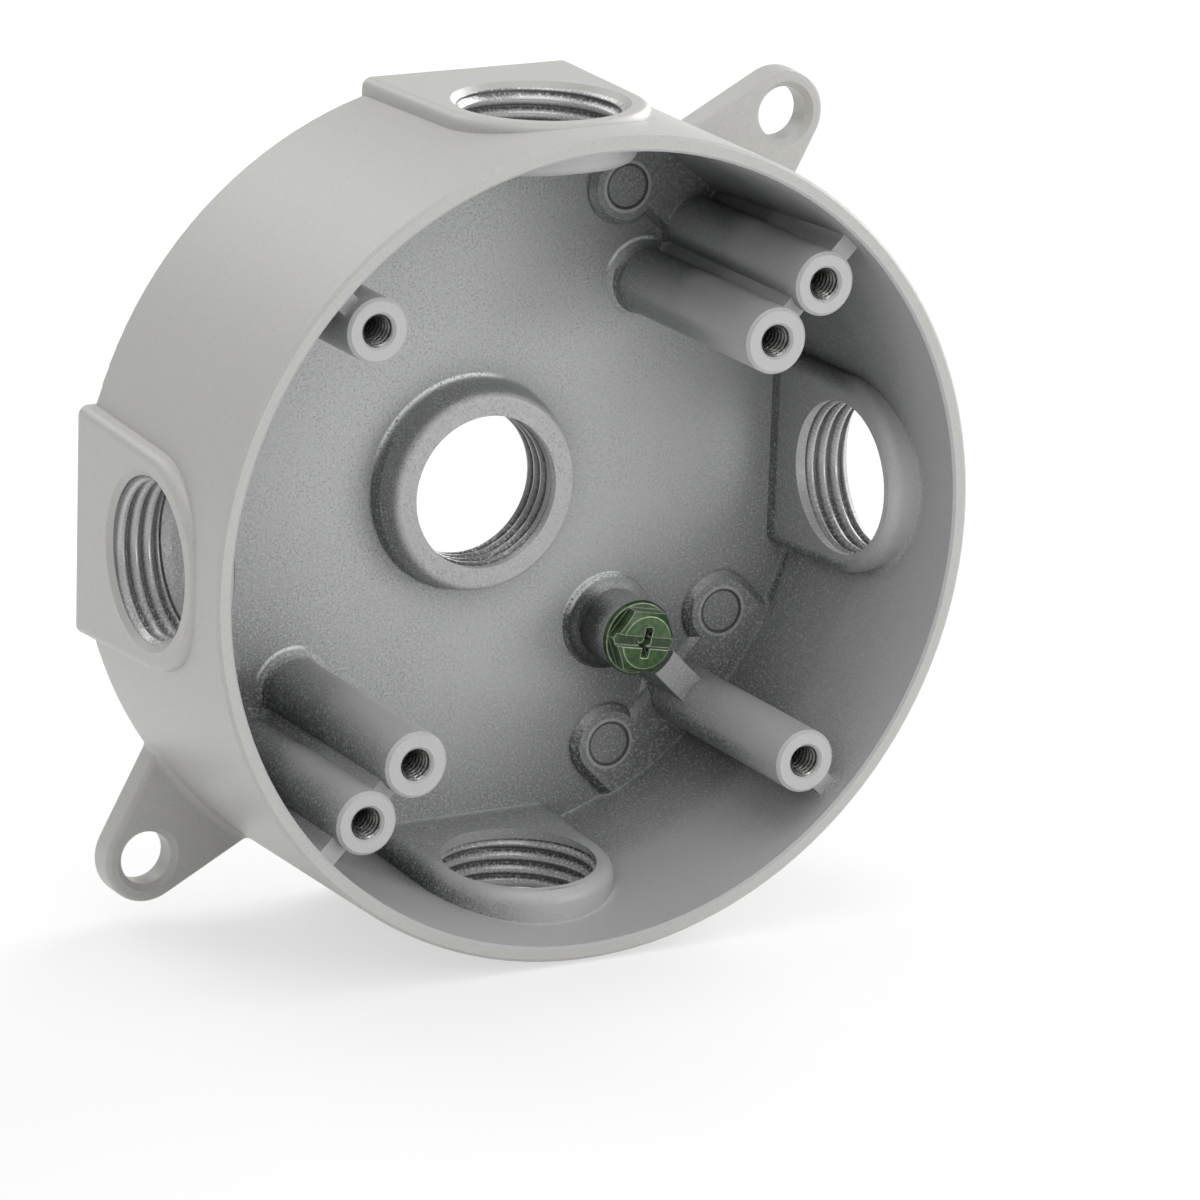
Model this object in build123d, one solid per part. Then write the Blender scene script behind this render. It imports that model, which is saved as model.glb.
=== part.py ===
# Round weatherproof junction box: a die-cast cup with five threaded outlets, two wall lugs,
# posts for the cover and fixture screws, and a ground screw. All sizes are in millimetres.
#
# The cup is modelled lying on its back with its open end up: the back is the plane z = 0 and
# the outlets point along +X, +Y, -X and -Y. At the end each piece is stood up, so that the back
# lies in the XZ plane, the open end faces -Y and +Z is up. The origin is the centre of the back.
import os
from math import cos, radians, sin, sqrt, tan

from build123d import *

# Cup
rim_radius = 53.2            # outside, at the open end
back_radius = 53.6           # outside, at the back
cup_depth = 39.2
rim_wall = 2.0               # wall at the open end
cavity_draft = 2.9           # degrees, the cavity narrows towards the floor
floor_thickness = 3.5
back_round = 0.7
rim_chamfer = 0.4            # outer edge of the rim
rim_edge_break = 0.3         # inner edge of the rim

# Side outlets, one in each quarter
outlet_height = 19.7         # axis above the back
outlet_face = 53.65          # outer pad, from the middle of the cup
outlet_inner_face = 45.8     # inner lump, on the outlet's axis
inner_face_draft = 3.5       # degrees, the inner face opens towards the rim
thread_radius = 10.65        # major radius of the half inch conduit thread
mouth_radius = 11.35         # countersunk mouth of each thread
mouth_depth = 0.7
lip_radius = 10.1            # cored hole left where the thread runs out
lip_depth = 0.8
pad_radius = 13.9            # pad round the mouth, outside
pad_back_half_width = 14.9
pad_round = 1.3
lump_radius = 13.0           # lump round the mouth, inside
lump_setback = 1.35          # its centre lies this far below the outlet's axis
lump_half_width = 13.4       # at the floor
lump_round = 1.9

# Back outlet and the ring that raises it
ring_height = 8.4            # above the back
ring_base_radius = 14.2
ring_draft = 14.0            # degrees
ring_round = 0.9
ring_lip_depth = 1.2
back_mouth_radius = 10.9     # countersunk mouth of the thread, in the back
back_mouth_depth = 0.25

# Wall lugs
lug_angles = (45.0, 225.0)
lug_hole_from_centre = 63.5
lug_hole_radius = 3.5
lug_end_radius = 5.8
lug_taper = 17.0             # degrees, each side
lug_thickness = 3.75
lug_round = 0.8
lug_root_round = 1.1

# Posts for screws: cover screws on the outer circle, fixture screws on the inner one
cover_circle_radius = 44.45
fixture_circle_radius = 34.925
cover_post_angles = (45.0, 135.0, 225.0, 315.0)
fixture_post_angles = (45.0, 225.0)
post_drop = 1.25             # post tops lie this far below the rim
cover_post_radius = 4.15
fixture_post_radius = 4.3
post_chamfer = 0.4
post_foot_reach = 1.0        # the foot flares this far out and this far up
post_foot_waist = 0.3        # reach of the flare where its two cones meet
post_hole_radius = 2.1
post_hole_depth = 15.0
post_mouth_radius = 2.4
web_width = 2.7
web_drop = 2.0               # web tops lie this far below the post tops

# Ground post, on the floor beside the lower right cover post
ground_angle = 315.0
ground_from_centre = 29.6
ground_post_height = 11.6    # above the back
ground_post_radius = 4.65    # at its top
ground_post_draft = 1.0      # degrees
ground_foot_round = 1.7
ground_hole_depth = 9.0
ground_web_width = 3.8
ground_web_height = 13.1     # above the back
washer_gap = 0.3             # between the washer and the web beside it

# Low lands on the floor, in pairs beside the cover posts, each with a shallow round mark
land_circle_radius = 43.1
land_spread = 15.5           # degrees to each side of the post
land_radius = 5.2
land_height = 1.4
land_chamfer = 0.8
land_mark_radius = 2.85
land_mark_depth = 0.15
land_bridge_from_centre = 41.0

# Ground screw, number 10 by 5/16 inch
screw_radius = 2.4
screw_length = 8.0
screw_tip = 0.5
screw_clearance = 0.05
washer_radius = 5.0
washer_thickness = 0.6
hex_across_flats = 7.94
hex_height = 2.3
hex_top_radius = 3.5         # the round face left between the turned off corners
hex_top_slope = 31.0         # degrees
slot_width = 1.5
slot_depth = 1.0
slot_turn = -10.7            # degrees from level
cross_reach = 2.1
cross_arm = 1.1
cross_depth = 1.8
cross_foot_radius = 0.5

# Worked out from the sizes above
overlap = 1.0                # how far an added form reaches into what carries it
post_top = cup_depth - post_drop
web_top = post_top - web_drop
land_top = floor_thickness + land_height
cavity_rim_radius = rim_radius - rim_wall
cavity_floor_radius = cavity_rim_radius - (cup_depth - floor_thickness) * tan(radians(cavity_draft))
wall_middle_radius = rim_radius - rim_wall / 2
radial_plane = Plane(origin=(0, 0, 0), x_dir=(0, 1, 0), z_dir=(1, 0, 0))


def at_angle(angle, radius=0.0):
    return Rot(0, 0, angle) * Pos(radius, 0, 0)


def spun(points):
    # a solid of revolution about the Z axis from its half section in the XZ plane
    return revolve(Plane.XZ * make_face(Polyline(*points, close=True)), Axis.Z)


def round_bar(radius, bottom, top):
    return Pos(0, 0, bottom) * Cylinder(radius, top - bottom,
                                        align=(Align.CENTER, Align.CENTER, Align.MIN))


def cup_outside():
    section = Polyline((0, 0), (back_radius, 0), (rim_radius, cup_depth), (0, cup_depth), close=True)
    face = make_face(section)
    corners = face.vertices()
    face = fillet(corners.sort_by_distance((back_radius, 0, 0))[0], back_round)
    rim_corner = face.vertices().sort_by_distance((rim_radius, cup_depth, 0))[0]
    face = chamfer(rim_corner, rim_chamfer)
    return revolve(Plane.XZ * face, Axis.Z)


def cavity():
    # the hollow, carried a little past the rim, with the rim's inner edge rounded off
    section = [
        (0, floor_thickness),
        (cavity_floor_radius, floor_thickness),
        (cavity_rim_radius, cup_depth),
        (cavity_rim_radius, cup_depth + overlap),
        (0, cup_depth + overlap),
    ]
    edge_break = [
        (cavity_rim_radius - overlap, cup_depth + overlap),
        (cavity_rim_radius + rim_edge_break + overlap, cup_depth + overlap),
        (cavity_rim_radius - overlap, cup_depth - rim_edge_break - overlap),
    ]
    return spun(section) + spun(edge_break)


def hull_outline(radius, centre_height, half_width, base_height):
    # the outline round a circle and a straight base, joined by tangents
    circle = Pos(0, centre_height) * CenterArc((0, 0), radius, 0, 360)
    base = Line((-half_width, base_height), (half_width, base_height))
    return make_hull([circle.edges()[0], base.edges()[0]])


def outlet_pad():
    # the flat pad outside the wall at +X, rounded all along its edge but not at the back
    outline = hull_outline(pad_radius, outlet_height, pad_back_half_width, 0)
    pad = extrude(radial_plane * outline, outlet_face)
    edges = pad.faces().sort_by(Axis.X)[-1].edges()
    return fillet(edges - edges.group_by(Axis.Z)[0], pad_round)


def outlet_lump():
    # the lump inside the wall at +X, with its inner face tipped by the draft
    outline = hull_outline(lump_radius, outlet_height - lump_setback, lump_half_width,
                           floor_thickness - overlap)
    lump = extrude(radial_plane * outline, wall_middle_radius)
    core_half = 2 * wall_middle_radius
    core = Box(core_half, 2 * core_half, 2 * core_half, align=(Align.MAX, Align.CENTER, Align.CENTER))
    lump -= Pos(outlet_inner_face, 0, outlet_height) * Rot(0, inner_face_draft, 0) * core
    edges = lump.faces().sort_by(Axis.X)[0].edges()
    return fillet(edges - edges.group_by(Axis.Z)[0], lump_round)


def thread_bore(outside, inside, lip):
    # a threaded hole along Z that is entered from the plane z = outside, going down to a lip
    bore = round_bar(thread_radius, inside + lip, outside + overlap)
    return bore + round_bar(lip_radius, inside - 2 * overlap, outside)


def countersink(outside, small, large, depth):
    return Pos(0, 0, outside) * Cone(small, large, depth,
                                     align=(Align.CENTER, Align.CENTER, Align.MAX))


def outlet_bore():
    hole = thread_bore(outlet_face, outlet_inner_face, lip_depth)
    hole += countersink(outlet_face, thread_radius, mouth_radius, mouth_depth)
    return Pos(0, 0, outlet_height) * Rot(0, 90, 0) * hole


def back_bore():
    hole = thread_bore(0, -ring_height, ring_lip_depth)
    hole += countersink(0, thread_radius, back_mouth_radius, back_mouth_depth)
    return Rot(180, 0, 0) * hole


def back_ring():
    top_radius = ring_base_radius - (ring_height - floor_thickness) * tan(radians(ring_draft))
    base = floor_thickness - overlap
    ring = spun([(0, base), (ring_base_radius, base), (ring_base_radius, floor_thickness),
                 (top_radius, ring_height), (0, ring_height)])
    return fillet(ring.edges().group_by(Axis.Z)[-1], ring_round)


def wall_lug():
    # a flat tapered ear at +X, level with the back
    inner = back_radius - 3 * overlap
    half_width = lug_end_radius / cos(radians(lug_taper)) + (lug_hole_from_centre - inner) * tan(
        radians(lug_taper))
    end = Pos(lug_hole_from_centre, 0) * CenterArc((0, 0), lug_end_radius, 0, 360)
    root = Line((inner, -half_width), (inner, half_width))
    ear = extrude(make_hull([end.edges()[0], root.edges()[0]]), lug_thickness)
    edges = ear.faces().sort_by(Axis.Z)[-1].edges()
    return fillet(edges - edges.group_by(Axis.X)[0], lug_round)


def lug_hole():
    hole = round_bar(lug_hole_radius, -overlap, lug_thickness + overlap)
    hole += countersink(lug_thickness, lug_hole_radius, lug_hole_radius + lug_round, lug_round)
    return Pos(lug_hole_from_centre, 0, 0) * hole


def screw_post(radius):
    # a straight round post with a flared foot and a chamfered top
    foot = radius + post_foot_reach
    base = floor_thickness - overlap
    return spun([
        (0, base),
        (foot, base),
        (foot, floor_thickness),
        (radius + post_foot_waist, floor_thickness + post_foot_waist),
        (radius, floor_thickness + post_foot_reach),
        (radius, post_top - post_chamfer),
        (radius - post_chamfer, post_top),
        (0, post_top),
    ])


def post_hole():
    bottom = post_top - post_hole_depth
    hole = round_bar(post_hole_radius, bottom, post_top)
    hole += countersink(bottom, 0, post_hole_radius, post_hole_radius / 2)
    return hole + countersink(post_top, post_hole_radius, post_mouth_radius,
                              post_mouth_radius - post_hole_radius)


def web(start, end, width, top):
    # a plain rib on the floor, from one distance to another along +X
    base = floor_thickness - overlap
    return Pos(start, 0, base) * Box(end - start, width, top - base,
                                     align=(Align.MIN, Align.CENTER, Align.MIN))


def ground_place():
    return at_angle(ground_angle, ground_from_centre)


def ground_post():
    # flared foot, then a short tapering post
    rise = ground_post_height - floor_thickness
    foot = ground_post_radius + rise * tan(radians(ground_post_draft))
    base = floor_thickness - overlap
    flare = [(0, base), (foot + ground_foot_round, base), (foot + ground_foot_round, floor_thickness)]
    curve = RadiusArc((foot + ground_foot_round, floor_thickness),
                      (foot, floor_thickness + ground_foot_round), -ground_foot_round)
    outline = Polyline(*flare) + curve + Polyline(
        (foot, floor_thickness + ground_foot_round), (ground_post_radius, ground_post_height),
        (0, ground_post_height), (0, base))
    return revolve(Plane.XZ * make_face(outline), Axis.Z)


def ground_web():
    # the rib that ties the ground post to the cover post, cut away round the washer
    rib = at_angle(ground_angle) * web(ground_from_centre, cover_circle_radius, ground_web_width,
                                       ground_web_height)
    return rib - ground_place() * round_bar(washer_radius + washer_gap, ground_post_height, cup_depth)


def ground_hole():
    return round_bar(screw_radius + screw_clearance, ground_post_height - ground_hole_depth,
                     ground_post_height + overlap)


def lands():
    # two round-ended lands beside the cover post at +X and the bridge between them, out to the wall
    reach = back_radius
    pair = Sketch()
    for side in (-1, 1):
        turn = radians(land_spread)
        middle = (land_circle_radius * cos(turn), side * land_circle_radius * sin(turn))
        pair += Pos(*middle) * Circle(land_radius)
        pair += Pos(*middle) * Rectangle(reach, 2 * land_radius, align=(Align.MIN, Align.CENTER))
    gap = 2 * land_circle_radius * sin(radians(land_spread))
    pair += Pos(land_bridge_from_centre, 0) * Rectangle(reach, gap, align=(Align.MIN, Align.CENTER))
    base = floor_thickness - overlap
    solid = Pos(0, 0, base) * extrude(pair, land_top - base)
    top_edges = solid.faces().sort_by(Axis.Z)[-1].edges()
    return chamfer(top_edges - top_edges.group_by(Axis.X)[-1], land_chamfer)


def land_mark(side):
    mark = round_bar(land_mark_radius, land_top - land_mark_depth, land_top + overlap)
    return at_angle(side * land_spread, land_circle_radius) * mark


def cup_with_lugs():
    cup = cup_outside()
    for angle in lug_angles:
        cup += at_angle(angle) * wall_lug()
    roots = [e for e in cup.edges() if is_lug_root(e)]
    return fillet(roots, lug_root_round)


def is_lug_root(edge):
    # the arcs where the top of a lug meets the wall
    middle = edge.position_at(0.5)
    wall = back_radius + (rim_radius - back_radius) * lug_thickness / cup_depth
    on_wall = abs(sqrt(middle.X ** 2 + middle.Y ** 2) - wall) < 0.05
    return on_wall and abs(middle.Z - lug_thickness) < 0.01 and edge.length < wall


def box_casting():
    body = cup_with_lugs()
    for quarter in range(4):
        body += at_angle(90 * quarter) * outlet_pad()
    body -= cavity()

    inside = Part()
    for quarter in range(4):
        inside += at_angle(90 * quarter) * outlet_lump()
    for angle in cover_post_angles:
        inside += at_angle(angle) * lands()
        inside += at_angle(angle, cover_circle_radius) * screw_post(cover_post_radius)
        inside += at_angle(angle) * web(cover_circle_radius, wall_middle_radius, web_width, web_top)
    for angle in fixture_post_angles:
        inside += at_angle(angle, fixture_circle_radius) * screw_post(fixture_post_radius)
        inside += at_angle(angle) * web(fixture_circle_radius, cover_circle_radius, web_width, web_top)
    inside += ground_web()
    inside += ground_place() * ground_post()
    inside += back_ring()
    body += inside & round_bar(wall_middle_radius, floor_thickness - overlap, cup_depth)

    for quarter in range(4):
        body -= at_angle(90 * quarter) * outlet_bore()
    body -= back_bore()
    for angle in lug_angles:
        body -= at_angle(angle) * lug_hole()
    for angle in cover_post_angles:
        body -= at_angle(angle, cover_circle_radius) * post_hole()
        body -= at_angle(angle) * (land_mark(-1) + land_mark(1))
    for angle in fixture_post_angles:
        body -= at_angle(angle, fixture_circle_radius) * post_hole()
    body -= ground_place() * ground_hole()
    return body


def hex_head():
    # a hexagon with its upper corners turned off to a round face
    blank = extrude(RegularPolygon(hex_across_flats / 2, 6, major_radius=False), hex_height)
    wide = hex_across_flats / 2 / cos(radians(30)) + overlap
    fall = (wide - hex_top_radius) * tan(radians(hex_top_slope))
    turned = spun([(0, 0), (wide, 0), (wide, hex_height - fall), (hex_top_radius, hex_height),
                   (0, hex_height)])
    return blank & turned


def driver_recess():
    # a slot right across, and a tapered cross in the middle, below the plane z = 0
    slot = Box(4 * washer_radius, slot_width, 2 * slot_depth)
    arms = Box(2 * cross_reach, cross_arm, 2 * cross_depth) + Box(cross_arm, 2 * cross_reach,
                                                                2 * cross_depth)
    return slot + (arms & countersink(0, cross_foot_radius, cross_reach, cross_depth))


def ground_screw():
    # built on its axis with the underside of the washer at z = 0
    head_top = washer_thickness + hex_height
    screw = round_bar(washer_radius, 0, washer_thickness)
    screw = chamfer(screw.edges().group_by(Axis.Z)[-1], washer_thickness / 2)
    screw += Pos(0, 0, washer_thickness) * hex_head()
    shank = round_bar(screw_radius, -screw_length, 0)
    shank = chamfer(shank.edges().group_by(Axis.Z)[0], screw_tip)
    screw += shank
    screw -= Pos(0, 0, head_top) * driver_recess()
    turn = slot_turn - ground_angle
    return ground_place() * Pos(0, 0, ground_post_height) * Rot(0, 0, turn) * screw


def stood_up(shape):
    return Rot(90, 0, 0) * shape


def main():
    os.makedirs("parts", exist_ok=True)
    export_step(stood_up(box_casting()), "parts/box_casting.step")
    export_step(stood_up(ground_screw()), "parts/ground_screw.step")


main()
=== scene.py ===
import math

import bmesh
import bpy
from mathutils import Matrix, Vector


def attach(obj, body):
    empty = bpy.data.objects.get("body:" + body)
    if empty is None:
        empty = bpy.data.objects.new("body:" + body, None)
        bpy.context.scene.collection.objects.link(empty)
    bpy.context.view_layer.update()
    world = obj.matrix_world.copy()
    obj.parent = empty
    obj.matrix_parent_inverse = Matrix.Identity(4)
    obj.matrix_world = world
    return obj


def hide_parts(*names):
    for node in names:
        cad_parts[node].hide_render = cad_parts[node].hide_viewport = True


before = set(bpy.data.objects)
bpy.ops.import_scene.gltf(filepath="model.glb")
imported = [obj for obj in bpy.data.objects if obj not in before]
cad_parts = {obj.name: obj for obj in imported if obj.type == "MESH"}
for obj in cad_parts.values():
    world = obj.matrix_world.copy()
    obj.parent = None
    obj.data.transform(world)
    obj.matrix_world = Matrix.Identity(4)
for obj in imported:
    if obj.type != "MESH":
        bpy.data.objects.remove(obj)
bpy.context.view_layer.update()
print("frame loaded")


# Shader maths

class Field:
    # a shader socket that takes Python's operators; each operator adds a Math node
    def __init__(self, shader, socket):
        self.shader = shader
        self.socket = socket

    def math(self, operation, *values):
        inputs = dict(enumerate([self, *values]))
        return self.shader.node("ShaderNodeMath", {"operation": operation}, inputs)

    def __add__(self, other):
        return self.math("ADD", other)

    def __sub__(self, other):
        return self.math("SUBTRACT", other)

    def __rsub__(self, other):
        return self.shader.node("ShaderNodeMath", {"operation": "SUBTRACT"}, {0: other, 1: self})

    def __mul__(self, other):
        return self.math("MULTIPLY", other)

    def __truediv__(self, other):
        return self.math("DIVIDE", other)

    __radd__ = __add__
    __rmul__ = __mul__

    def power(self, exponent):
        return self.math("POWER", exponent)

    def atLeast(self, other):
        return self.math("MAXIMUM", other)

    def size(self):
        return self.math("ABSOLUTE")

    def rising(self, low, high):
        # 0 below low, 1 above high, smooth between
        return self.shader.node(
            "ShaderNodeMapRange", {"interpolation_type": "SMOOTHSTEP"},
            {"Value": self, "From Min": low, "From Max": high})

    def falling(self, low, high):
        return 1 - self.rising(low, high)

    def near(self, value, full, end):
        # 1 as far as full from the value, 0 from end on
        return (self - value).size().falling(full, end)


class Shader:
    # the nodes of a new material, or of the world
    def __init__(self, owner, output="ShaderNodeOutputMaterial"):
        owner.use_nodes = True
        self.owner = owner
        self.output = output
        self.tree = owner.node_tree
        self.tree.nodes.clear()

    def node(self, kind, settings=None, inputs=None, output=0):
        made = self.tree.nodes.new(kind)
        for name, value in (settings or {}).items():
            setattr(made, name, value)
        for name, value in (inputs or {}).items():
            if isinstance(value, Field):
                self.tree.links.new(value.socket, made.inputs[name])
            else:
                made.inputs[name].default_value = value
        return Field(self, made.outputs[output]) if made.outputs else None

    def coordinates(self, kind):
        return self.node("ShaderNodeTexCoord", output=kind)

    def axes(self):
        place = self.coordinates("Object")
        return [self.node("ShaderNodeSeparateXYZ", inputs={0: place}, output=axis)
                for axis in "XYZ"]

    def noise(self, width, detail=0, roughness=0.5):
        # width is that of one blotch, in metres
        return self.node("ShaderNodeTexNoise", inputs={
            "Vector": self.coordinates("Object"), "Scale": 1 / width, "Detail": detail,
            "Roughness": roughness})

    def dot(self, vector, direction):
        return self.node("ShaderNodeVectorMath", {"operation": "DOT_PRODUCT"},
                         {0: vector, 1: direction}, output="Value")

    def openness(self, reach, samples):
        # 1 on an open face, lower where the same piece stands close
        return self.node("ShaderNodeAmbientOcclusion", {"samples": samples, "only_local": True},
                         {"Distance": reach}, output="AO")

    def ray(self, kind):
        return self.node("ShaderNodeLightPath", output=kind)

    def mixColour(self, factor, first, second):
        first, second = [c if isinstance(c, Field) else (*c, 1) for c in (first, second)]
        return self.node("ShaderNodeMix", {"data_type": "RGBA"},
                         {0: factor, 6: first, 7: second}, output=2)

    def bump(self, height, distance, strength, normal=None):
        inputs = {"Height": height, "Distance": distance, "Strength": strength}
        if normal:
            inputs["Normal"] = normal
        return self.node("ShaderNodeBump", inputs=inputs)

    def principled(self, inputs):
        return self.finish(self.node("ShaderNodeBsdfPrincipled", inputs=inputs))

    def finish(self, surface):
        self.node(self.output, inputs={"Surface": surface})
        return self.owner


def newMaterial(name):
    return Shader(bpy.data.materials.new(name))


# Powder coat

coat = {
    "outside": (0.475, 0.47, 0.45),
    "inside": (0.465, 0.47, 0.467),
    # floor: lighter than the rest of the inside, as painted light
    "floor": (0.54, 0.546, 0.545),
    "bareAndShade": (0.075, 0.079, 0.082),      # where the powder hardly reached, and painted shade
    # fleck: light speckles, and the painted highlight on the land marks' rims
    "fleck": (0.72, 0.73, 0.73),
    # pit: dark speckles, and the painted shade in the land marks' grooves and on the ground
    # post's flare
    "pit": (0.04, 0.042, 0.045),
    "paintedHighlight": (0.98, 0.99, 0.99),     # a painted highlight along a corner that faces up
    "lightGrain": (0.7, 0.7, 0.69),
    "darkGrain": (0.2, 0.2, 0.19),
    "roughness": 0.38,
    "peelRoughness": 0.1,
    "bareMetallic": 0.3,
    "bumpDepth": 0.00004,
    "bumpStrength": 0.8,
    "cloudWidth": 0.007,
    "peelWidth": 0.0011,
    "speckWidth": 0.00032,
    "grainWidth": 0.00026,
    "cornerReach": 0.032,               # how far a corner keeps the powder off, and reaches with painted shade
    "sharpReach": 0.0012,               # how near to a corner the painted highlight lies
}

# how strongly its tones, its thin places, and its painted shade and highlights show
cover = {
    "bareAndShade": 0.85,
    "shadedSide": 0.75,
    "shadedSlope": 0.9,
    "ring": 0.42,
    "spread": 0.55,
    "pit": 0.62,
    "fleck": 0.36,
    "fleckOnBare": 0.3,
    "shade": 0.85,
    "paintedHighlight": 0.95,
    "paintedHighlightAtLump": 0.7,
    "landRimHighlight": 0.5,
    "landGrooveShade": 0.75,
    "lightGrain": 0.08,
    "darkGrain": 0.12,
}

# directions on the casting
lightAndSprayFrom = (0.75, -0.45, 0.48)         # the light came from this side, and the powder too
lowLeft = (-0.85, 0.0, -0.5)            # and this side, turned from the light, gets painted shade
highlightSide = (-0.45, 0.0, 0.89)
lumpSide = (-0.7, 0.0, 0.7)

# where its masks begin and end: radii from the middle of the box, and depths from its back
radii = {
    "wall": (0.0516, 0.0518),           # parts the inside from the outside
    "ring": (0.0142, 0.0146),
    "lump": (0.044, 0.046),
}
depths = {
    "back": (0.0031, 0.0034),           # parts the inside from the back face
    "floor": (0.0038, 0.0062),
    "belowLand": (0.0044, 0.0046),
    "foot": (0.0046, 0.0056),
    "corner": (0.0048, 0.0060),
    "land": (0.0050, 0.0053),
    "shadedSlope": (0.0050, 0.0056),
    "deep": (0.005, 0.023),
    "spread": (0.006, 0.02),
    "ring": (0.0070, 0.0082),
    "shade": (0.008, 0.0112),
    "shadedSide": (0.02, 0.037),
    "lump": (0.024, 0.028),
}

# where a painted highlight runs round a foot: x and z, and the radius
groundFoot = ((0.02093, -0.02093), 0.0064)
feet = (((0.0, 0.0), 0.01435), ((0.0247, 0.0247), 0.0055), ((-0.0247, -0.0247), 0.0055),
        groundFoot)
footLine = (0.00012, 0.00034)
flare = (0.0060, 0.0065)                # radius of the ground post's flared foot

# the round marks on the lands: x and z of one, and the others follow from it
landMark = {
    "centre": (0.03751, 0.02122),
    "groove": 0.00285,
    "grooveLine": (0.0001, 0.00026),
    "rim": 0.00285 + 0.00042,
    "rimLine": (0.0001, 0.0003),
}


def distanceFrom(x, z, centre):
    # from an axis along Y
    across = x - centre[0]
    up = z - centre[1]
    return (across * across + up * up).power(0.5)


def bearing(x, z, centre, side):
    # about 1 where the way out from the axis points to the side, and -1 opposite
    out = (x - centre[0]) * side[0] + (z - centre[1]) * side[2]
    return out / distanceFrom(x, z, centre)


class CoatPlaces:
    # where a point of the casting lies, as the masks of the coat ask for it
    def __init__(self, s):
        self.x, y, self.z = s.axes()
        self.depth = y * -1
        self.away = distanceFrom(self.x, self.z, (0, 0))
        self.inside = self.away.falling(*radii["wall"]) * self.depth.rising(*depths["back"])
        self.normal = s.coordinates("Normal")


def shadeOnFlare(at):
    # painted shade on the ground post's flared foot, on the side turned from the light
    centre = groundFoot[0]
    shade = bearing(at.x, at.z, centre, lowLeft).rising(-0.25, 0.5)
    shade = shade * distanceFrom(at.x, at.z, centre).falling(*flare)
    return shade * at.depth.falling(*depths["shade"]) * at.inside


def thinCoatAndShade(s, at, cloud):
    # the coat is thin in corners, and painted shade darkens the corners, the deep places and the
    # sides turned away from the light
    facing = s.dot(at.normal, lightAndSprayFrom)
    # painted shade in corners, strongest on the sides turned from the light
    corner = (1 - s.openness(coat["cornerReach"], 1)) * (1 + facing.falling(-0.9, 0.5) * 1.6)
    deep = 0.18 + 0.82 * at.depth.falling(*depths["deep"])
    thinAndShade = (corner * deep * (0.7 + cloud * 0.6)).rising(0.1, 0.6)
    # painted shade on the sides turned away from the light
    shadedSide = facing.falling(-0.9, -0.7) * at.depth.falling(*depths["shadedSide"])
    # painted shade on the lands' slopes that face low left
    shadedSlope = s.dot(at.normal, lowLeft).rising(0.15, 0.6) * at.depth.falling(*depths["shadedSlope"])
    # the centre ring darker all round, as painted shade
    ring = at.away.falling(*radii["ring"]) * at.depth.falling(*depths["ring"])
    thinAndShade = thinAndShade.atLeast(shadedSide * cover["shadedSide"]).atLeast(shadedSlope * cover["shadedSlope"])
    return thinAndShade.atLeast(ring * cover["ring"]) * at.inside


def addSpeckles(s, at, tone, cloud, speck, thinAndShade):
    # light and dark speckles where the coat is thin, and most at the upper left of the floor
    lowDown = 0.25 + 0.75 * at.z.falling(-0.016, 0.016)
    spread = cloud.rising(0.35, 0.65) * 0.5 + 0.5 * (at.x - at.z).falling(-0.01, 0.045)
    spread = spread * at.depth.falling(*depths["spread"]) * at.inside * cover["spread"]
    specked = (thinAndShade.rising(0.05, 0.4) * lowDown).atLeast(spread)
    pit = speck.falling(0.34, 0.46) * specked
    fleck = speck.rising(0.55, 0.68) * specked
    tone = s.mixColour(pit * cover["pit"], tone, coat["pit"])
    return s.mixColour(fleck * (cover["fleck"] + cover["fleckOnBare"] * thinAndShade), tone,
                       coat["fleck"])


def addPaintedHighlights(s, at, tone, speck):
    # painted highlights in the sharp corners that face up, on the lump, and around the feet
    sharp = 1 - s.openness(coat["sharpReach"], 1)
    corner = s.dot(at.normal, highlightSide).rising(0.4, 0.8) * at.depth.falling(*depths["corner"])
    lump = s.dot(at.normal, lumpSide).rising(0.5, 0.66) * at.away.rising(*radii["lump"])
    lump = lump * at.depth.rising(*depths["lump"]) * cover["paintedHighlightAtLump"]
    paintedHighlight = sharp * corner.atLeast(lump)
    for centre, reach in feet:
        line = distanceFrom(at.x, at.z, centre).near(reach, *footLine)
        line = line * bearing(at.x, at.z, centre, highlightSide).rising(0.62, 0.9)
        paintedHighlight = paintedHighlight.atLeast(line * at.depth.falling(*depths["foot"]))
    paintedHighlight = paintedHighlight * speck.rising(0.28, 0.46) * at.inside
    return s.mixColour(paintedHighlight * cover["paintedHighlight"], tone, coat["paintedHighlight"])


def addLandMarks(s, at, tone):
    # painted shade in a groove, and a painted highlight on the rim round it
    onLand = at.depth.rising(*depths["belowLand"]) * at.depth.falling(*depths["land"])
    onLand = onLand * at.inside
    for centre in (landMark["centre"], landMark["centre"][::-1]):
        distance = distanceFrom(at.x.size(), at.z.size(), centre)
        rim = distance.near(landMark["rim"], *landMark["rimLine"]) * onLand
        groove = distance.near(landMark["groove"], *landMark["grooveLine"]) * onLand
        tone = s.mixColour(rim * cover["landRimHighlight"], tone, coat["fleck"])
        tone = s.mixColour(groove * cover["landGrooveShade"], tone, coat["pit"])
    return tone


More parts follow.
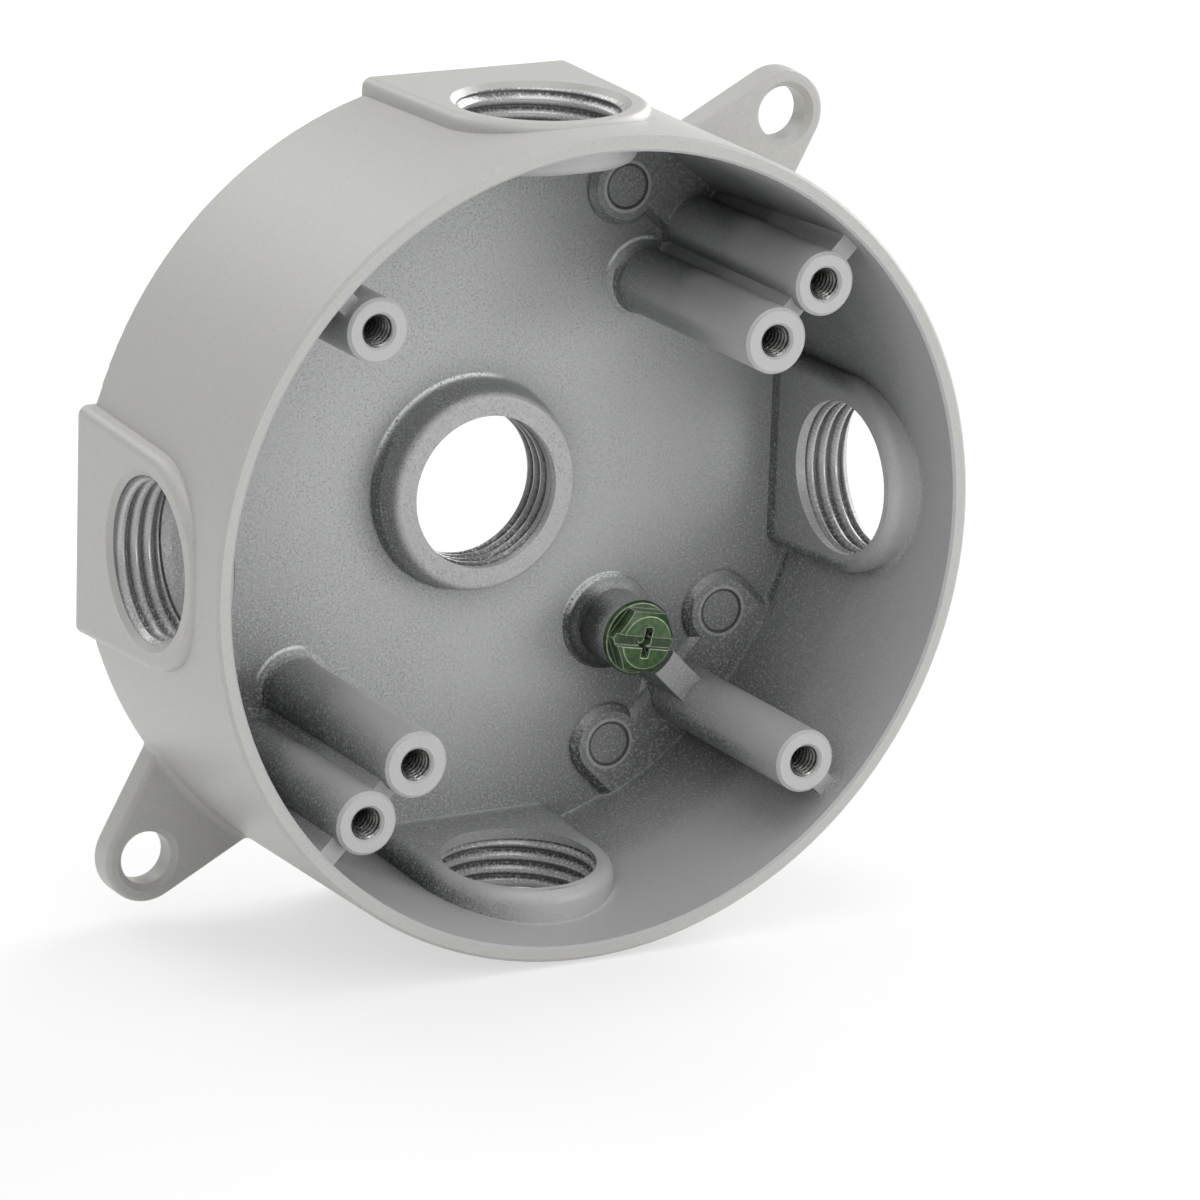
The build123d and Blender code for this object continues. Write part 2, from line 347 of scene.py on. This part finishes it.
def coatMaterial():
    s = newMaterial("powder_coat")
    at = CoatPlaces(s)
    cloud = s.noise(coat["cloudWidth"], 2, 0.6)
    speck = s.noise(coat["speckWidth"], 1, 0.7)
    grain = s.noise(coat["grainWidth"])
    peel = s.noise(coat["peelWidth"], 1)
    shade = shadeOnFlare(at)
    thinAndShade = thinCoatAndShade(s, at, cloud).atLeast(shade)

    tone = s.mixColour(at.inside, coat["outside"], coat["inside"])
    # the floor made lighter: painted light
    tone = s.mixColour(at.depth.falling(*depths["floor"]) * at.inside, tone, coat["floor"])
    # the dark bare tone: thin coat, and painted shade
    tone = s.mixColour(thinAndShade * cover["bareAndShade"], tone, coat["bareAndShade"])
    tone = addSpeckles(s, at, tone, cloud, speck, thinAndShade)
    # painted shade on the ground post's flare
    tone = s.mixColour(shade * cover["shade"], tone, coat["pit"])
    tone = addPaintedHighlights(s, at, tone, speck)
    tone = addLandMarks(s, at, tone)
    tone = s.mixColour(grain.rising(0.6, 0.75) * cover["lightGrain"], tone, coat["lightGrain"])
    tone = s.mixColour(grain.falling(0.25, 0.4) * cover["darkGrain"], tone, coat["darkGrain"])

    height = grain * 0.4 + peel * 0.8 + speck * at.inside * 0.5
    return s.principled({
        "Base Color": tone, "Metallic": thinAndShade * coat["bareMetallic"],
        "Roughness": coat["roughness"] + (peel - 0.5) * coat["peelRoughness"],
        "Normal": s.bump(height, coat["bumpDepth"], coat["bumpStrength"])})


# Threads

# each groove tone is painted shade in the thread's grooves
threadLooks = {
    # the side outlets were cut before coating, so their threads are partly coated
    "side_thread": {
        "ridge": (0.50, 0.505, 0.50), "groove": (0.16, 0.162, 0.16), "from": 0.28, "to": 0.7,
        "wear": 0.1, "bump": 0.00001, "metallic": 0.3, "roughness": 0.28},
    "back_thread": {
        "ridge": (0.34, 0.34, 0.34), "groove": (0.02, 0.02, 0.02), "from": 0.1, "to": 0.95,
        "wear": 0.6, "bump": 0.00009, "metallic": 0.6, "roughness": 0.34},
    "post_thread": {
        "ridge": (0.32, 0.32, 0.31), "groove": (0.003, 0.003, 0.003), "from": 0.15, "to": 1.0,
        "wear": 0.4, "bump": 0.00005, "metallic": 0.85, "roughness": 0.3},
}
upFleckTone = (0.9, 0.9, 0.89)            # light flecks on the flanks that face up
wearWidth = 0.0004


def threadMaterial(name):
    look = threadLooks[name]
    s = newMaterial(name)
    ridge = s.node("ShaderNodeAttribute", {"attribute_name": "ridge"}, output="Fac")
    wear = s.noise(wearWidth, 2, 0.7)
    # painted shade in the grooves, from how far up its ridge each point lies
    lit = (ridge * 0.9 + (wear - 0.5) * look["wear"]).rising(look["from"], look["to"])
    upFleck = wear.rising(0.53, 0.66) * s.dot(s.coordinates("Normal"), (0, 0, 1)).rising(0.2, 0.9)
    tone = s.mixColour(lit, look["groove"], look["ridge"])
    tone = s.mixColour(upFleck * 0.7, tone, upFleckTone)
    return s.principled({
        "Base Color": tone, "Metallic": look["metallic"],
        "Roughness": look["roughness"] + (wear - 0.5) * 0.25,
        "Normal": s.bump(wear, look["bump"], 0.8)})


def newObject(name, mesh, material):
    mesh.materials.clear()
    mesh.materials.append(material)
    made = bpy.data.objects.new(name, mesh)
    bpy.context.collection.objects.link(made)
    return made


def skinObject(name, rows, material, ridges=None):
    # a skin over rows of points, each row a ring
    count = len(rows[0])
    points = [point for row in rows for point in row]
    faces = []
    for r in range(len(rows) - 1):
        for c in range(count):
            after = (c + 1) % count
            faces.append((r * count + c, r * count + after,
                          (r + 1) * count + after, (r + 1) * count + c))
    mesh = bpy.data.meshes.new(name)
    mesh.from_pydata(points, [], faces)
    mesh.shade_smooth()
    if ridges:
        held = mesh.attributes.new("ridge", "FLOAT", "POINT")
        held.data.foreach_set("value", ridges)
    return newObject(name, mesh, material)


def ridgeHeight(phase):
    # a 60 degree thread with a flat crest, as a height from 0 to 1 over one pitch
    fromCrest = abs(phase - 0.5) * 2
    return min(1.0, max(0.0, 1.22 - 1.22 * fromCrest))


def threadRows(thread, length):
    # rings along +Z from z = 0, and how far up its ridge each point lies; a 45 degree mouth cuts
    # the first turn, and the far end runs out
    pitch = thread["pitch"]
    steps = math.ceil(length / pitch * thread["perPitch"])
    rows = []
    ridges = []
    for step in range(steps + 1):
        along = length * step / steps
        room = min(1.0, along / thread["height"], (length - along) / pitch / 0.4)
        ring = []
        for column in range(thread["around"]):
            turn = column / thread["around"]
            ridge = ridgeHeight((along / pitch - turn) % 1.0)
            radius = thread["root"] + thread["side"] * thread["height"] * min(ridge, room)
            angle = 2 * math.pi * turn
            ring.append((radius * math.cos(angle), radius * math.sin(angle), along))
            ridges.append(ridge)
        rows.append(ring)
    return rows, ridges


def endRing(ring, radius):
    return [(x / math.hypot(x, y) * radius, y / math.hypot(x, y) * radius, z) for x, y, z in ring]


def aim(thing, mouth, direction):
    # moves a mesh from the origin and +Z to a mouth and a direction
    turn = Vector(direction).to_track_quat("Z", "Y").to_matrix().to_4x4()
    thing.data.transform(Matrix.Translation(mouth) @ turn)


# root is the radius of the bore, height that of the ridge, and sunk the hidden end's radius
outletThread = {"pitch": 0.001814, "root": 0.01063, "height": 0.00082, "side": -1,
                "sunk": 0.01072, "around": 144, "perPitch": 16}
postThread = {"pitch": 0.000794, "root": 0.00208, "height": 0.00038, "side": -1,
              "sunk": 0.00215, "around": 48, "perPitch": 12}

# each outlet's thread starts where the countersunk mouth has closed to the bore
sideMouth = 0.05365 - 0.0007
sideHeight = -0.0197
sideLength = 0.00635
backLength = 0.00695
outlets = {
    # the mouth, the way in, the length and the look
    "outlet_back_thread": ((0, -0.00025, 0), (0, -1, 0), backLength, "back_thread"),
    "outlet_right_thread": ((sideMouth, sideHeight, 0), (-1, 0, 0), sideLength, "side_thread"),
    "outlet_top_thread": ((0, sideHeight, sideMouth), (0, 0, -1), sideLength, "side_thread"),
    "outlet_left_thread": ((-sideMouth, sideHeight, 0), (1, 0, 0), sideLength, "side_thread"),
    "outlet_bottom_thread": ((0, sideHeight, -sideMouth), (0, 0, 1), sideLength, "side_thread"),
}

# the posts by kind: the radius that they stand on, and their angles
posts = {"cover": (0.04445, (45, 135, 225, 315)), "fixture": (0.034925, (45, 225))}
postMouth = -0.03795 + 0.0003
postLength = 0.0115


def threadSleeve(name, thread, mouth, inward, length, material):
    rows, ridges = threadRows(thread, length)
    rows = [endRing(rows[0], thread["sunk"]), *rows, endRing(rows[-1], thread["sunk"])]
    end = [0.0] * thread["around"]
    sleeve = skinObject(name, rows, material, end + ridges + end)
    aim(sleeve, mouth, inward)
    sleeve.data.flip_normals()
    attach(sleeve, "casting")


def addThreads():
    looks = {name: threadMaterial(name) for name in threadLooks}
    for name, (mouth, inward, length, look) in outlets.items():
        threadSleeve(name, outletThread, mouth, inward, length, looks[look])
    for kind, (radius, angles) in posts.items():
        for angle in angles:
            turn = math.radians(angle)
            mouth = (radius * math.cos(turn), postMouth, radius * math.sin(turn))
            threadSleeve(f"{kind}_post_thread_{angle}", postThread, mouth, (0, 1, 0), postLength,
                         looks["post_thread"])


# Ground screw

screw = {
    "colour": (0.066, 0.135, 0.045),
    "dark": (0.030, 0.070, 0.022),
    "deep": (0.006, 0.016, 0.006),      # painted shade in the recess and under the head
    "wornAndHighlight": (0.58, 0.65, 0.50),         # where an edge has lost its green, and painted highlight along the edges
    "cloudWidth": 0.0009,
    "deepReach": 0.0022,
    "edgeWidth": 0.0002,
    "edgeReach": 0.0005,
    "bumpDepth": 0.00003,
    "metallic": 0.4,
    "roughness": 0.26,
    "cloudRoughness": 0.12,
    "lacquer": 0.4,
    "lacquerRoughness": 0.15,
    "seat": -0.0116,
    "fromCentre": 0.0296,
    "shank": {"pitch": 0.000794, "root": 0.0019, "height": 0.0005, "side": 1,
              "around": 48, "perPitch": 12},
    "shankLength": 0.0078,
    "shankTip": 0.0012,
}


def screwMaterial():
    s = newMaterial("green_finish")
    cloud = s.noise(screw["cloudWidth"], 3, 0.6)
    # painted shade in the recess and under the head
    deep = (1 - s.openness(screw["deepReach"], 3)).rising(0.12, 0.75)
    rounded = s.node("ShaderNodeBevel", {"samples": 6}, {"Radius": screw["edgeWidth"]})
    flat = s.node("ShaderNodeNewGeometry", output="Normal")
    bent = s.node("ShaderNodeVectorMath", {"operation": "DISTANCE"}, {0: rounded, 1: flat},
                  output="Value")
    # painted highlight along the edges, partly worn green
    edge = bent.rising(0.05, 0.22) * s.openness(screw["edgeReach"], 2)
    tone = s.mixColour(cloud.rising(0.3, 0.7), screw["dark"], screw["colour"])
    tone = s.mixColour(deep, tone, screw["deep"])
    tone = s.mixColour(edge * (0.5 + cloud * 0.8) * 0.9, tone, screw["wornAndHighlight"])
    return s.principled({
        "Base Color": tone, "Metallic": screw["metallic"],
        "Roughness": screw["roughness"] + cloud * screw["cloudRoughness"],
        "Normal": s.bump(cloud, screw["bumpDepth"], 0.6, rounded),
        "Coat Weight": screw["lacquer"], "Coat Roughness": screw["lacquerRoughness"]})


def headPiece(material):
    # the head of the CAD screw, cut off under the washer
    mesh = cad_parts["ground_screw"].data.copy()
    slack = 0.00001
    work = bmesh.new()
    work.from_mesh(mesh)
    bmesh.ops.remove_doubles(work, verts=work.verts, dist=1e-7)
    below = [f for f in work.faces if min(v.co.y for v in f.verts) > screw["seat"] - slack
             and max(v.co.y for v in f.verts) > screw["seat"] + slack]
    bmesh.ops.delete(work, geom=below, context="FACES")
    work.to_mesh(mesh)
    work.free()
    return newObject("ground_screw_head", mesh, material)


def addGroundScrew(material):
    head = headPiece(material)
    rows = threadRows(screw["shank"], screw["shankLength"])[0]
    rows.append(endRing(rows[-1], screw["shankTip"]))
    thread = skinObject("ground_screw_thread", rows, material)
    across = screw["fromCentre"] * math.cos(math.radians(45))
    aim(thread, (across, screw["seat"], -across), (0, 1, 0))
    for piece in (head, thread):
        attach(piece, "screw")
    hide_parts("ground_screw")


# Stage, light and camera

stage = {
    "floorLevel": -0.05365,
    "floorReach": 3.0,
    "floorColour": (0.93, 0.93, 0.93),
    "glowSeen": 0.6,                    # how far the floor is plain white to the camera
    "glowMirrored": 0.3,                # and to what mirrors it
    "ambient": 0.44,
}

lamps = {
    "over": {"at": (0.0, -0.15, 1.2), "size": 0.8, "power": 4.6},
    "overFront": {"at": (0.1, -1.0, 0.95), "size": 0.8, "power": 2.6},
    "leftFront": {"at": (-0.8, -0.6, 0.85), "size": 0.8, "power": 1.0},
    "lowRight": {"at": (0.8, -1.0, 0.0), "size": 0.6, "power": 5.5},
    "rightBack": {"at": (1.1, 0.5, 0.5), "size": 0.8, "power": 11.5},
    "back": {"at": (-0.3, 0.9, 0.9), "size": 0.8, "power": 3.9},
}

shot = {
    "at": (-0.414425, -0.773016, 0.246187),
    "turn": (73.34211, -1.8195, -28.89844),
    "lens": 211.96,
    "sensor": 36.0,
    "nearest": 0.05,
    "farthest": 20,
}


def floorMaterial():
    s = newMaterial("floor")
    lit = s.node("ShaderNodeBsdfDiffuse", inputs={"Color": (*stage["floorColour"], 1)})
    glow = s.node("ShaderNodeEmission", inputs={"Color": (1, 1, 1, 1), "Strength": 1.0})
    seen = s.ray("Is Camera Ray") * stage["glowSeen"]
    seen = seen.atLeast(s.ray("Is Glossy Ray") * stage["glowMirrored"])
    return s.finish(s.node("ShaderNodeMixShader", inputs={0: seen, 1: lit, 2: glow}))


def addFloor():
    reach = stage["floorReach"]
    level = stage["floorLevel"]
    mesh = bpy.data.meshes.new("floor")
    corners = [(-reach, -reach, level), (reach, -reach, level), (reach, reach, level),
               (-reach, reach, level)]
    mesh.from_pydata(corners, [], [(0, 1, 2, 3)])
    floor = newObject("floor", mesh, floorMaterial())


def addSurround():
    # white to the camera, and a dim light from all round to everything else
    s = Shader(bpy.data.worlds.new("studio"), "ShaderNodeOutputWorld")
    strength = stage["ambient"] + s.ray("Is Camera Ray") * (1 - stage["ambient"])
    bpy.context.scene.world = s.finish(s.node("ShaderNodeBackground", inputs={
        "Color": (1, 1, 1, 1), "Strength": strength}))


def addLamps():
    for name, lamp in lamps.items():
        data = bpy.data.lights.new(name, "AREA")
        data.size = lamp["size"]
        data.energy = lamp["power"]
        made = bpy.data.objects.new(name, data)
        made.location = lamp["at"]
        made.rotation_euler = (-Vector(lamp["at"])).to_track_quat("-Z", "Y").to_euler()
        bpy.context.collection.objects.link(made)


def addCamera():
    data = bpy.data.cameras.new("camera")
    data.lens = shot["lens"]
    data.sensor_width = shot["sensor"]
    data.clip_start = shot["nearest"]
    data.clip_end = shot["farthest"]
    camera = bpy.data.objects.new("camera", data)
    camera.location = shot["at"]
    camera.rotation_euler = [math.radians(angle) for angle in shot["turn"]]
    bpy.context.collection.objects.link(camera)
    bpy.context.scene.camera = camera


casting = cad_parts["box_casting"]
casting.data.materials.clear()
casting.data.materials.append(coatMaterial())
print("coat done")
addThreads()
print("threads done")
addGroundScrew(screwMaterial())
print("ground screw done")
addFloor()
addSurround()
addLamps()
addCamera()
bpy.context.scene.view_settings.view_transform = "Standard"
print("stage, lamps and camera done")
